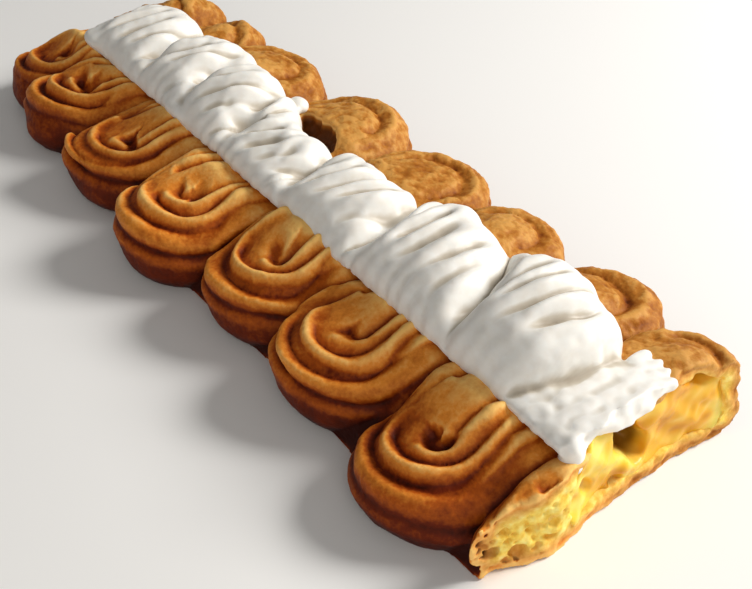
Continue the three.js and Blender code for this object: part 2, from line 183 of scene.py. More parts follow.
CREAM = dict(far_x=-124.0, near_x=CUT_X + 0.6, edge_z=29.5, left_y=-17.0, right_y=16.0)
CREAM.update(bed_z=27.3, band_z=33.5, skew=3.0, end_round=9.0, end_height=0.35)
CREAM.update(bow=5.0, bow_y=19, bow_run=20)  # the arch of the star tip's passes across the band
CREAM.update(tail_top=34.0, tail_right=20.5, tail_length=16, tail_run=9)
# The mounds of the cream: middle, half length along the bar, top, edge on the filled side, and how
# much the middle and the half length change for each mm towards that side.
MOUNDS = [
    (-97, 20, 41.5, 18, 0, 0),
    (-66, 18, 43.0, 20, 0.2, 0),
    (-40, 17, 44.5, 17, 0.25, 0),
    (-8, 20, 38.5, 9, 0.2, 0),
    (28, 21, 41.0, 14, 0, 0),
    (70, 22.5, 44.0, 22, -0.28, -0.2),
    (105.5, 17.5, 47.5, 26, -0.1, 0.3),
]
MOUND_SPREAD = 1.06  # factor on the half lengths
MOUND_SHORTEST = 8  # half length
MOUND_FOOT = 0.16  # the share of the half length over which a mound's end runs out
# The folds across a mound: spacing, how far one runs along the bar on its way across, and the
# ranges of what is drawn. last is measured back from the mound's edge.
FOLD = dict(spacing=7.5, sweep=9.0, points=5, shift=1.5, margins=(5, 4))
FOLD.update(first=(-17, -9), last=10, height=(-2.1, -1.1), half_width=(1.4, 1.9))
# The valley between two mounds: its line is in mm along the bar from the middle of it, and y.
VALLEY = dict(height=-2.2, half_width=2.6, line=[(7, -19), (3, -10), (0, 0), (-3, 10), (-6, 20)])
FOLD_DEPTH = 1.75  # factors on the heights and half widths of all folds and valleys
FOLD_WIDTH = 1.3
THINNEST = 2.4  # what the deepest fold leaves of the band
# Drips, dabs and the nub at the band's edges: place, and half sizes.
DRIPS = [
    (CUT_X + 0.3, -13.5, 25, (3.2, 3.2, 7.2)),
    (CUT_X - 1, 17, 31.0, (1.5, 4.4, 1.6)),
    (CUT_X - 4.5, 20, 31.0, (1.4, 3.6, 1.2)),
    (CUT_X - 8, 20.5, 31.0, (1.5, 3.8, 1.2)),
    (CUT_X - 12, 20, 31.2, (2.0, 3.6, 1.5)),
    (CUT_X - 0.6, 3, 30.4, (2.2, 2.6, 2.4)),
    (-29, 18.5, 31.5, (4.0, 3.0, 2.6)),
    (-50, -15, 31.0, (8.5, 3.4, 2.6)),
    (-112, -14, 31.0, (8.0, 5.0, 3.0)),
]
TAIL_GRAIN = dict(start=118, run=10, heights=(0.1, 0.3))  # it grows towards the cut
PASSES = dict(spacing=5.4, depth=0.2, drift=2.2)  # the low ridges of the star tip across the band

# Layers of lumps and grain on each surface: height, size and seed of each.
CRUST_LUMPS = [(0.32, 7.0, 1)]
CRUST_GRAIN = [(0.18, 2.8, 2), (0.13, 1.3, 3)]
CRUST_GRAIN_FACTORS = (0.6, 1.7)  # in the crumb row and the filled row
CUSTARD_LUMPS = [(0.45, 5.0, 21), (0.25, 2.2, 22)]
CREAM_LUMPS = [(0.3, 7.0, 31)]
CREAM_GRAIN = [(1.0, 2.5, 32)]
# How wide the surroundings are that a point's relief is measured from, and the relief that takes its
# colour from one end of the range to the other: from painted shade in the grooves to the plain colour,
# and on the crust on to a painted highlight on the crests.
CRUST_RELIEF = dict(reach=2.6, span=1.9)
CREAM_RELIEF = dict(reach=3.2, span=2.4)

# The photograph's camera: lens for a sensor 36 mm wide, place, and the direction that it faces.
LENS = 59.84
CAMERA_PLACE = (283.392, -170.689, 237.090)
CAMERA_AIM = (-0.6433, 0.4539, -0.6166)
# Lights: place in m, size in m, power in W and colour.
LIGHTS = {
    "key": ((0.36, 0.72, 0.58), 0.4, 11.0, (1.0, 0.97, 0.93)),
    "fill": ((0.8, -0.45, 0.5), 0.8, 2.6, (1.0, 0.96, 0.9)),
}
# Half the floor's side, and its height, both in m.
FLOOR_HALF = 4.0
FLOOR_Z = -0.0002

# ---------------------------------------------------------------- helpers


def lerp(a, b, share):
    return a + (b - a) * share


def smooth(t):
    t = np.clip(t, 0, 1)
    return t * t * (3 - 2 * t)


def dome(d, reach):
    """A bump of height 1 at zero that falls to 0 at one reach."""
    return np.sqrt(np.maximum(0, 1 - (d / reach) ** 2))


def join(a, b, blend):
    """The union of two distances, rounded where they meet."""
    near = np.maximum(blend - np.abs(a - b), 0) / blend
    return np.minimum(a, b) - near * near * blend / 4


def carve(a, b, blend):
    """What is in a but not in b, rounded where they meet."""
    return -join(-a, b, blend)


def segment(px, py, a, b):
    """Distance in plan to the line from a to b, and the share of the way along it."""
    dx, dy = b[0] - a[0], b[1] - a[1]
    share = np.clip(((px - a[0]) * dx + (py - a[1]) * dy) / (dx * dx + dy * dy), 0, 1)
    return np.hypot(px - a[0] - share * dx, py - a[1] - share * dy), share


def ragged(x, y, z, size):
    """An uneven wave, about as long as the given size, for edges that were torn or pressed."""
    a = np.sin(y / (0.46 * size) + z / (0.37 * size) + 1.1)
    b = np.sin(y / (0.27 * size) - z / (0.33 * size) + x / (0.5 * size))
    return 0.6 * a + 0.4 * b


def waves_of(x, y, z, waves):
    """The sum of uneven waves, each given as its depth and size."""
    return sum(depth * ragged(x, y, z, size) for depth, size in waves)


def ellipsoid(x, y, z, radii):
    """Distance to an ellipsoid about the origin."""
    rx, ry, rz = radii
    level = np.sqrt((x / rx) ** 2 + (y / ry) ** 2 + (z / rz) ** 2)
    slope = np.sqrt((x / rx**2) ** 2 + (y / ry**2) ** 2 + (z / rz**2) ** 2)
    return level * (level - 1) / np.maximum(slope, 1e-6)


def curve(points, per_span=8):
    """Points on a smooth line through the given ones."""
    points = np.array(points, float)
    ends = np.vstack([2 * points[0] - points[1], points, 2 * points[-1] - points[-2]])
    t = np.linspace(0, 1, per_span, endpoint=False)[:, None]
    line = [points[-1:]]
    for p0, p1, p2, p3 in zip(ends, ends[1:], ends[2:], ends[3:]):
        bend = (2 * p0 - 5 * p1 + 4 * p2 - p3) * t**2 + (3 * p1 - p0 - 3 * p2 + p3) * t**3
        line.insert(-1, p1 + 0.5 * ((p2 - p0) * t + bend))
    return np.vstack(line)


def from_curve(px, py, line):
    """Distance in plan to a line of points, and the share of the way along it."""
    best, share = np.full(np.broadcast(px, py).shape, 1e9), 0.0
    for i, (a, b) in enumerate(zip(line, line[1:])):
        away, part = segment(px, py, a, b)
        share = np.where(away < best, (i + part) / (len(line) - 1), share)
        best = np.minimum(best, away)
    return best, share


LATTICE = 64  # random values along each side of the noise, which repeats after that many


def noise(points, size, seed):
    """Smooth random values from -1 to 1 at points in mm, which change over about one size."""
    values = np.random.default_rng(seed).uniform(-1, 1, (LATTICE,) * 3).astype(np.float32)
    scaled = points / size
    cell = np.floor(scaled).astype(int)
    part = smooth(scaled - cell)
    total = 0
    for corner in np.ndindex(2, 2, 2):
        weight = np.prod(np.where(corner, part, 1 - part), axis=1)
        i, j, k = ((cell + corner) % LATTICE).T
        total = total + weight * values[i, j, k]
    return total


def lumps(points, layers):
    """The sum of layers of noise, each given as its height, size and seed."""
    return sum(height * noise(points, size, seed) for height, size, seed in layers)


def corners_of(place, reach):
    """The lowest and the highest corner of a box round a place."""
    low = [middle - side for middle, side in zip(place, reach)]
    high = [middle + side for middle, side in zip(place, reach)]
    return low, high


class Grid:
    """Distances on a regular grid of points."""

    def __init__(self, low, high, step):
        self.step = step
        self.low = np.array(low, float)
        counts = np.ceil((np.array(high) - self.low) / step).astype(int) + 1
        self.axes = [(self.low[i] + step * np.arange(counts[i])).astype(np.float32) for i in range(3)]
        self.values = np.full(counts, EMPTY, np.float32)

    def part(self, low, high):
        """The grid's values between two corners, and their x, y and z, ready to broadcast."""
        spans = [slice(*np.searchsorted(axis, (a, b))) for axis, a, b in zip(self.axes, low, high)]
        x, y, z = (axis[span] for axis, span in zip(self.axes, spans))
        return self.values[tuple(spans)], x[:, None, None], y[None, :, None], z[None, None, :]

    def whole(self):
        """The x, y and z of all the grid, ready to broadcast."""
        x, y, z = self.axes
        return x[:, None, None], y[None, :, None], z[None, None, :]

    def around(self, place, reach):
        """The grid's values within a reach of a place, and their x, y and z measured from it."""
        x0, y0, z0 = place
        values, x, y, z = self.part(*corners_of(place, reach))
        return values, x - x0, y - y0, z - z0

    def join_blobs(self, blobs, blend):
        """Joins ellipsoids, each given as x, y, z and its half sizes."""
        for *place, radii in blobs:
            values, x, y, z = self.around(place, (max(radii) + 2,) * 3)
            values[...] = join(values, ellipsoid(x, y, z, radii), blend)

    def mesh(self):
        """The surface where the distance is zero, as points in mm and quads that face out."""
        volume = openvdb.FloatGrid(EMPTY)
        volume.copyFromArray(self.values)
        points, quads = volume.convertToQuads(0.0)
        return largest_piece(points.astype(float) * self.step + self.low, quads.astype(np.int64))


def largest_piece(points, quads):
    """Only the largest connected piece, without loose scraps."""
    label = np.arange(len(points))
    while True:
        lowest = label[quads].min(1)
        found = label.copy()
        np.minimum.at(found, quads.ravel(), np.repeat(lowest, 4))
        found = found[found]
        if (found == label).all():
            break
        label = found
    keep = label == np.bincount(label).argmax()
    place = np.cumsum(keep) - 1
    return points[keep], place[quads[keep[quads[:, 0]]]]


def normals_of(points, quads):
    a, b, c, d = (points[quads[:, i]] for i in range(4))
    across = np.cross(c - a, d - b)
    total = np.stack([gather(quads, np.repeat(across[:, i], 4), len(points)) for i in range(3)], 1)
    return total / np.maximum(np.linalg.norm(total, axis=1, keepdims=True), 1e-9)


def gather(quads, values, count):
    return np.bincount(quads.ravel(), values, count)


def smoothed(values, quads, rounds):
    """Values at the points, each replaced by the mean of its neighbours', this many times."""
    count = len(values)
    left = quads.ravel()
    right = np.roll(quads, -1, axis=1).ravel()
    weight = np.bincount(left, minlength=count) + np.bincount(right, minlength=count)
    flat = values.reshape(count, -1).astype(float)
    for _ in range(rounds):
        for i in range(flat.shape[1]):
            column = flat[:, i]
            total = np.bincount(left, column[right], count) + np.bincount(right, column[left], count)
            flat[:, i] = total / weight
    return flat.reshape(values.shape)


def relief_of(points, quads, reach, span):
    """How far each point stands out from its surroundings: crests above 0.5, grooves below."""
    rounds = int((reach / GRID_STEP) ** 2)
    away = points - smoothed(points, quads, rounds)
    return 0.5 + (away * normals_of(points, quads)).sum(1) / span


def linked(name, data):
    """A new object of the scene that holds this mesh, light or camera."""
    made = bpy.data.objects.new(name, data)
    bpy.context.scene.collection.objects.link(made)
    return made


def aimed(made, place, direction):
    """Puts a camera or light at a place, facing in a direction."""
    made.location = place
    made.rotation_mode = "QUATERNION"
    made.rotation_quaternion = Vector(direction).to_track_quat("-Z", "Y")


def piece(name, points, quads, colours, material, node):
    """A mesh object that stands for a CAD node. colours are its colour attributes, by name."""
    mesh = bpy.data.meshes.new(name)
    mesh.vertices.add(len(points))
    mesh.vertices.foreach_set("co", ((points + SHIFT) * MM).astype(np.float32).ravel())
    mesh.loops.add(quads.size)
    mesh.loops.foreach_set("vertex_index", quads.astype(np.int32).ravel())
    mesh.polygons.add(len(quads))
    mesh.polygons.foreach_set("loop_start", np.arange(0, quads.size, 4, dtype=np.int32))
    mesh.polygons.foreach_set("use_smooth", np.ones(len(quads), bool))
    mesh.update(calc_edges=True)
    for attribute, channels in colours.items():
        layer = mesh.color_attributes.new(attribute, "FLOAT_COLOR", "POINT")
        rows = np.ones((len(points), 4), np.float32)
        for i, channel in enumerate(channels):
            rows[:, i] = np.clip(channel, 0, 1)
        layer.data.foreach_set("color", rows.ravel())
    mesh.materials.append(material)
    made = linked(name, mesh)
    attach(made, "root")
    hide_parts(node)


# ---------------------------------------------------------------- pastry


def shells_of(row, side):
    """Each shell with its width, which is from its neighbours' places unless it has its own."""
    last = len(row) - 1
    shells = []
    for i, place in enumerate(row):
        before, after = row[max(0, i - 1)]["x"], row[min(last, i + 1)]["x"]
        width = (after - before) / (1 if i in (0, last) else 2)
        shells.append({"width": width, **place, "side": side, "turn_y": place["reach"] - TURN_INSET})
    return shells


SHELLS = shells_of(CRUMB_ROW, -1) + shells_of(FILLED_ROW, 1)


def unbent(x, y, z):
    """Undoes the slow bends that leave no two shells alike."""
    size, wave = WARP["size"], WARP["wave"]
    px = x - size * np.sin(y / (wave * 0.4) + x / wave)
    py = y - size * np.sin(x / (wave * 0.55) + 1.7) * np.sign(y) * np.minimum(1, np.abs(y) / 20)
    pz = z / (1 + size / 24 * np.sin(x / (wave * 0.37) + y / (wave * 0.5)))
    return px, py, pz


def shell_field(shell, x, y, z):
    """Distance to one shell: a rounded top over a hairpin's outline, and its foot."""
    side, width, reach = shell["side"], shell["width"], shell["reach"]
    out = side * y
    local = x - shell["x"] - shell["lean"] * (out - INNER_Y) / (reach - INNER_Y)
    to_axis, _ = segment(local, out, (0, shell["turn_y"]), (0, ARM_END))
    half = OUTLINE * width
    flat = CRUMB_FLATNESS if side < 0 else FILLED_FLATNESS
    share = np.clip(to_axis / half, 0, 1.5)
    across = share**flat
    end_z = TURN_Z + (FILLED_RISE if side > 0 else 0)
    run = shell["turn_y"] + ARM_OFFSET * width - INNER_Y
    outward = smooth((out - INNER_Y) / run)
    height = lerp(INNER_Z, end_z, outward) - TILT * local - shell.get("sag", 0) * outward
    scale = lerp(TIP_SCALE, 1, smooth(2 * (out - INNER_Y) / (shell["turn_y"] - INNER_Y)))
    rise = SQUASH * ROPE_RADIUS * width * scale
    up = (z - height) / rise
    level = np.hypot(across, up)
    slope = np.hypot(across * flat * share ** (flat - 1) / half, up / rise)
    angle = np.arctan2(up, across)
    phase = (angle - RIDGE_START) / RIDGE_STEP
    crest = np.sin(math.pi * (phase - np.floor(phase)))
    shown = smooth(phase) * smooth((WALL_ANGLE - angle) / 0.5)
    relief = shell["ridge"] * rise * (2 * crest - 1) * shown
    found = level * (level - 1) / np.maximum(slope, 1e-6) - relief
    lobes = [(FOOT, reach - FOOT["ry"])]
    if side > 0:
        lobes.append((PUFF, PUFF["y"]))
    for lobe, middle_y in lobes:
        lobe_x = x - shell["x"] - shell["lean"] * lobe["lean"]
        radii = (lobe["share"] * width, lobe["ry"], lobe["rz"])
        found = join(found, ellipsoid(lobe_x, out - middle_y, z - lobe["z"], radii), lobe["blend"])
    return np.maximum(found, -out)


def body_field(x, y, z):
    """The dough that the shells stand on."""
    end_round = BODY["end_round"]
    close = dome(np.maximum(0, FAR_X + end_round - x), end_round)
    across = np.abs(y) / np.maximum(close, 0.05)
    top = np.interp(across, BODY["across"], BODY["top"])
    top = top * lerp(BODY["end_height"], 1, close)
    return np.maximum(BODY["slope"] * (z - top), FAR_X + 0.5 - x)


class HeightMap:
    """How far crests and grooves lift a surface, in mm, over the places x and y of a grid."""

    def __init__(self, x, y):
        self.x, self.y = x.ravel(), y.ravel()
        self.values = np.zeros((len(self.x), len(self.y)))

    def near(self, line, reach):
        """The map's values round a line, and their x and y, ready to broadcast."""
        low, high = line.min(0) - reach, line.max(0) + reach
        i = slice(*np.searchsorted(self.x, (low[0], high[0])))
        j = slice(*np.searchsorted(self.y, (low[1], high[1])))
        return self.values[i, j], self.x[i, None], self.y[None, j]

    def add(self, strokes, deeper, wider, sharpness, fade, lip=0.0):
        """Adds crests (heights above 0) and creases, each along a smooth line through places.
        A lip is the share of a crease's depth that its two edges swell by."""
        for places, height, half_width in strokes:
            line = curve(places)
            wide = wider * half_width
            values, px, py = self.near(line, 4 * wide)
            away, share = from_curve(px, py, line)
            taper = smooth(share / fade) * smooth((1 - share) / fade)
            profile = np.exp(-((away / wide) ** 2))
            if -PIT < height < 0:
                near = np.clip(1 - away / (GROOVE_REACH * wide), 0, 1)
                profile = lerp(profile, 1 - np.sqrt(1 - near**2), sharpness)
                profile = profile - lip * np.exp(-((away / wide - 2) ** 2))
            values += (deeper if height < 0 else CREST_HEIGHT) * height * taper * profile

    def at(self, px, py):
        """The lift at single places, between the grid's own."""
        i = np.clip((px - self.x[0]) / (self.x[1] - self.x[0]), 0, len(self.x) - 1.001)
        j = np.clip((py - self.y[0]) / (self.y[1] - self.y[0]), 0, len(self.y) - 1.001)
        i0, j0 = i.astype(int), j.astype(int)
        values = self.values
        near = lerp(values[i0, j0], values[i0 + 1, j0], i - i0)
        far = lerp(values[i0, j0 + 1], values[i0 + 1, j0 + 1], i - i0)
        return lerp(near, far, j - j0)


def stroke_of(shell, stroke, draw):
    """One crest or groove of a shell: its places, height and half width."""
    share, first, last, height, half_width = stroke
    first += shell["twist"] + draw.uniform(-CHANGES["first"], CHANGES["first"])
    last += shell["twist"] + draw.uniform(-CHANGES["last"], CHANGES["last"])
    height *= draw.uniform(*CHANGES["height"])
    radius = share * OUTLINE * shell["width"] * draw.uniform(*CHANGES["radius"])
    wobble = draw.uniform(0, 2 * math.pi)
    places = []
    for t in np.linspace(first, last, STROKE_POINTS):
        bend, arm = np.clip(t, -1, 1), abs(t) - min(abs(t), 1)
        turned = radius * (1 - SPIRAL * t) + CHANGES["wobble"] * math.sin(3 * t + wobble)
        local = turned * math.sin(bend * math.pi / 2) * (1 - ARM_TAPER * arm)
        out = shell["turn_y"] + TURN_DEPTH * turned * math.cos(bend * math.pi / 2) - ARM_STEP * arm
        lean = shell["lean"] * (out - INNER_Y) / (shell["reach"] - INNER_Y)
        inner = shell["shift"] * (1 - share)
        places.append((shell["x"] + local + lean + inner, shell["side"] * out))
    return places, height, half_width


def pleat_map(x, y):
    """The crests and grooves of both rows' piping."""
    lifts = HeightMap(x, y)
    draw = np.random.default_rng(5)
    lines = []
    for shell in SHELLS:
        strokes = CRUMB_STROKES if shell["side"] < 0 else FILLED_STROKES
        twist = draw.uniform(-CHANGES["twist"], CHANGES["twist"])
        shift = draw.uniform(-CHANGES["shift"], CHANGES["shift"])
        lines += [stroke_of(dict(shell, twist=twist, shift=shift), stroke, draw) for stroke in strokes]
    lifts.add(lines, PLEAT_DEPTH, PLEAT_WIDTH, sharpness=0.65, fade=0.12)
    return lifts


def pleated(z):
    """How much of the pleats shows at a height, from none at the plate to all of them."""
    return smooth((z - PLEAT_FOOT) / PLEAT_RISE)


def cut_at(y):
    """The x of the cut at each y."""
    x = CUT_X
    for bulge, middle, half_width in CUT_BULGES:
        x = x + bulge * np.exp(-(((y - middle) / half_width) ** 2))
    return x


def dough_at(points, lifts):
    """Distance to the uncut dough at each point."""
    x, y, z = unbent(*points.T)
    found = body_field(x, y, z)
    for shell in SHELLS:
        found = np.minimum(found, shell_field(shell, x, y, z))
    px, py, pz = points.T
    return found - lifts.at(px, py) * pleated(pz)


def pastry_grid():
    """The pastry with its cut and the hollows that the custard and the cream lie in."""
    grid = Grid(*PASTRY_SPACE, GRID_STEP)
    values, x, y, z = grid.part(*BODY_SPACE)
    values[...] = body_field(*unbent(x, y, z))
    floor, ceiling = PASTRY_SPACE[0][2], PASTRY_SPACE[1][2]
    for shell in SHELLS:
        wide = 0.75 * shell["width"] + abs(shell["lean"]) + 4
        middle = shell["x"] + shell["lean"] * 0.5
        near, far = sorted((shell["side"] * 2.0, shell["side"] * (shell["reach"] + 6)))
        values, x, y, z = grid.part((middle - wide, near, floor), (middle + wide, far, ceiling))
        values[...] = join(values, shell_field(shell, *unbent(x, y, z)), SHELL_BLEND)
    x, y, z = grid.whole()
    lifts = pleat_map(*grid.axes[:2])
    grid.values -= (lifts.values[:, :, None] * pleated(z)).astype(np.float32)
    grid.values = np.maximum(grid.values, -z)
    grid.join_blobs(CRUMBS, 1.5)
    knife = cut_at(y) + waves_of(0 * x, y, z, KNIFE_WAVES)
    grid.values = np.maximum(grid.values, x - knife).astype(np.float32)
    values, x, y, z = grid.part(*CUSTARD_HOLLOW)
    inside = -custard_field(x, y, z) - 0.9 + 0.7 * ragged(x, y, z, 7.0)
    values[...] = np.maximum(values, inside)
    values, x, y, z = grid.part(*CREAM_HOLLOW)
    values[...] = np.maximum(values, -cream_field(x, y, z) - 1.0)
    return grid, lifts


def carve_tear(grid):
    """The torn hole beside the cream in the filled row."""
    x0, y0, z0 = TEAR["place"]
    turn = TEAR["turn"]
    values, x, y, z = grid.part(*corners_of(TEAR["place"], TEAR["space"]))
    px, py = x - x0, y - y0
    along = px * math.cos(turn) + py * math.sin(turn)
    across = py * math.cos(turn) - px * math.sin(turn)
    hole = ellipsoid(along, across, z - z0, TEAR["radii"]) + 0.8 * ragged(x, 1.4 * x, y, 6.0)
    values[...] = carve(values, hole, 0.8)


def carve_bubbles(grid):
    """Bubbles in the crumb that the knife opened."""
    draw = np.random.default_rng(11)
    ranges = [SMALL_BUBBLES[name] for name in ("y", "z", "radius")]
    small = [[draw.uniform(*both) for both in ranges] for _ in range(SMALL_BUBBLES["count"])]
    for y, z, radius in BUBBLES + small:
        place = (float(cut_at(y)) - 0.2 * radius, y, z)
        values, px, py, pz = grid.around(place, (1.3 * radius + 1,) * 3)
        bubble = ellipsoid(px, py, pz, (1.5 * radius, radius, 0.8 * radius))
        values[...] = carve(values, bubble, 0.4)


# ---------------------------------------------------------------- custard


def custard_field(x, y, z):
    """The run of custard along the middle, and the filling of the last shell."""
    fill = dome(np.maximum(0, CUSTARD["fill_x"] - x), CUSTARD["fill_round"])
    right, shoulder, top_y = (lerp(*CUSTARD[name], fill) for name in ("right", "shoulder", "top_y"))
    floor_z, left_y, top_z = CUSTARD["floor_z"], CUSTARD["left_y"], CUSTARD["top_z"]
    corners = [
        (right - 3, floor_z),
        (right + 1, floor_z + 4),
        (right - 1, shoulder - 5),
        (right - 11, shoulder),
        (top_y, top_z),
        (left_y + 8, top_z),
        (left_y, top_z - 8),
        (left_y - 2, floor_z + 7),
        (left_y + 2, floor_z),
    ]
    found = CUSTARD["far_x"] - x
    for (ay, az), (by, bz) in zip(corners, corners[1:] + corners[:1]):
        dy, dz = by - ay, bz - az
        length = np.hypot(dy, dz)
        found = np.maximum(found, ((y - ay) * dz - (z - az) * dy) / length)
    return found


def custard_grid():
    """The custard under the cream, with the knife's smears and pockets at the cut."""
    grid = Grid(*CUSTARD_SPACE, GRID_STEP)
    values, x, y, z = grid.part(*CUSTARD_SPACE)
    smear = ragged(0.4 * x, y, z, 11.0) + 0.45 * ragged(x, y, z, 4.5)
    found = np.maximum(custard_field(x, y, z), x - cut_at(y) + 0.7 + smear)
    found = np.maximum(found, -cream_field(x, y, z) - 0.15)
    for (x0, y0, z0), radii, lean, torn in POCKETS:
        px, py, pz = x - x0, y - y0, z - z0
        across = py * math.cos(lean) + pz * math.sin(lean)
        along = pz * math.cos(lean) - py * math.sin(lean)
        pocket = ellipsoid(px, across, along, radii) + torn * ragged(x, y, z, 8.0)
        found = carve(found, pocket, 1.2)
    values[...] = found
    return grid


# ---------------------------------------------------------------- whipped cream


def cream_profile(x, y):
    """Height and right edge of the band at a place."""
    top = np.full_like(x, CREAM["band_z"])
    right = np.full_like(x, CREAM["right_y"])
    for middle, reach, mound_top, mound_right, shift, spread in MOUNDS:
        half = np.maximum(reach + spread * y, MOUND_SHORTEST) * MOUND_SPREAD
        away = np.abs(x - middle - shift * y) / half
        share = dome(away, 1) * smooth((1 - away) / MOUND_FOOT)
        top = np.maximum(top, lerp(CREAM["band_z"], mound_top, share))
        right = right + (mound_right - CREAM["right_y"]) * share**2
    tail = smooth((x - (CREAM["near_x"] - CREAM["tail_length"])) / CREAM["tail_run"])
    right = lerp(right, CREAM["tail_right"], tail) + 1.2 * ragged(0 * y, x, 0, 7.0)
    return lerp(top, CREAM["tail_top"], tail), right


def cream_field(x, y, z, lift=0.0):
    """Distance to the band of cream, with its top raised by the lift."""
    left, edge_z = CREAM["left_y"], CREAM["edge_z"]
    near_end, far_end = CREAM["near_x"] - x, x - CREAM["far_x"]
    straight = np.clip(near_end / CREAM["bow_run"], 0, 1) * np.clip(far_end / CREAM["bow_run"], 0, 1)
    rise = np.clip(1 - (y / CREAM["bow_y"]) ** 2, 0, 1)
    bowed = x - CREAM["bow"] * straight * (rise - 0.5)
    top, right = cream_profile(bowed, y)
    end_round = CREAM["end_round"]
    rounded = dome(np.maximum(0, CREAM["far_x"] + end_round - x), end_round)
    close = lerp(CREAM["end_height"], 1, rounded)
    middle, half = (left + right) / 2, (right - left) / 2 * close
    tall = np.maximum((top - edge_z) * close, 2)
    across = (y - middle - CREAM["skew"] * np.clip((z - edge_z) / tall, 0, 1) ** 2) / half
    up = np.maximum(z - edge_z, 0) / tall
    level = np.hypot(across, up)
    slope = np.hypot(across / half, up / tall)
    shell = level * (level - 1) / np.maximum(slope, 1e-6)
    bed = lerp(CREAM["bed_z"], edge_z - 1.2, np.clip(((y - middle) / half) ** 2, 0, 1.2))
    torn = waves_of(0 * x, y, z, TORN_WAVES)
    ends = np.maximum(CREAM["far_x"] - x, x - CREAM["near_x"] - torn)
    return np.maximum(np.maximum(shell - lift, bed - z), ends)


def folds_of_mounds():
    """The folds that sweep across each mound, and the valleys between mounds."""
    draw = np.random.default_rng(8)
    folds = []
    for i, (middle, reach, _, right, shift, _) in enumerate(MOUNDS):
        before, behind = FOLD["margins"]
        for x in np.arange(middle - reach + before, middle + reach - behind, FOLD["spacing"]):
            x += draw.uniform(-FOLD["shift"], FOLD["shift"])
            first, last = draw.uniform(*FOLD["first"]), draw.uniform(right - FOLD["last"], right)
            places = []
            for y in np.linspace(first, last, FOLD["points"]):
                across = (y - first) / (last - first)
                sweep = FOLD["sweep"] * (math.sin(across * math.pi / 2) - 0.5)
                places.append((x + shift * y + sweep, y))
            folds.append((places, draw.uniform(*FOLD["height"]), draw.uniform(*FOLD["half_width"])))
        if i + 1 < len(MOUNDS):
            next_middle, next_reach = MOUNDS[i + 1][:2]
            edge = (middle + reach + next_middle - next_reach) / 2
            places = [(edge + along, y) for along, y in VALLEY["line"]]
            folds.append((places, VALLEY["height"], VALLEY["half_width"]))
    return folds


def fold_map(x, y):
    """The folds and the star tip's ridges of the cream."""
    lifts = HeightMap(x, y)
    x, y = lifts.x[:, None], lifts.y[None, :]
    shape = lifts.values.shape
    points = np.stack([np.broadcast_to(axis, shape).ravel() for axis in (x, y, 0)], 1).astype(float)
    drift = noise(points, 11.0, 41).reshape(shape)
    strength = 0.6 + 0.6 * noise(points, 16.0, 42).reshape(shape)
    bow = CREAM["bow"] * (1 - (y / CREAM["bow_y"]) ** 2)
    wave = np.cos(2 * math.pi * (x - bow + PASSES["drift"] * drift) / PASSES["spacing"])
    lifts.values = PASSES["depth"] * strength * wave
    lifts.add(folds_of_mounds(), FOLD_DEPTH, FOLD_WIDTH, sharpness=0.0, fade=0.4, lip=0.12)
    return lifts


def cream_grid():
    """The band of cream with its folds, none of which goes through it, and its drips."""
    grid = Grid(*CREAM_SPACE, GRID_STEP)
    x, y, z = grid.whole()
    lifts = fold_map(*grid.axes[:2])
    plain = cream_field(x, y, z)
    thick = (plain < 0).sum(2) * grid.step
    lift = np.maximum(lifts.values, -np.maximum(thick - THINNEST, 0))
    grid.values = cream_field(x, y, z, lift[:, :, None]).astype(np.float32)
    grid.values = np.maximum(grid.values, CREAM["bed_z"] - 1 - z)
    grid.join_blobs(DRIPS, 2.0)
    return grid


# ---------------------------------------------------------------- materials


def rgb(r, g, b):
    """A colour given as it looks on a screen, 0 to 255, as the shader's linear numbers."""
    linear = [((c / 255 + 0.055) / 1.055) ** 2.4 if c > 10 else c / 255 / 12.92 for c in (r, g, b)]
    return (*linear, 1)


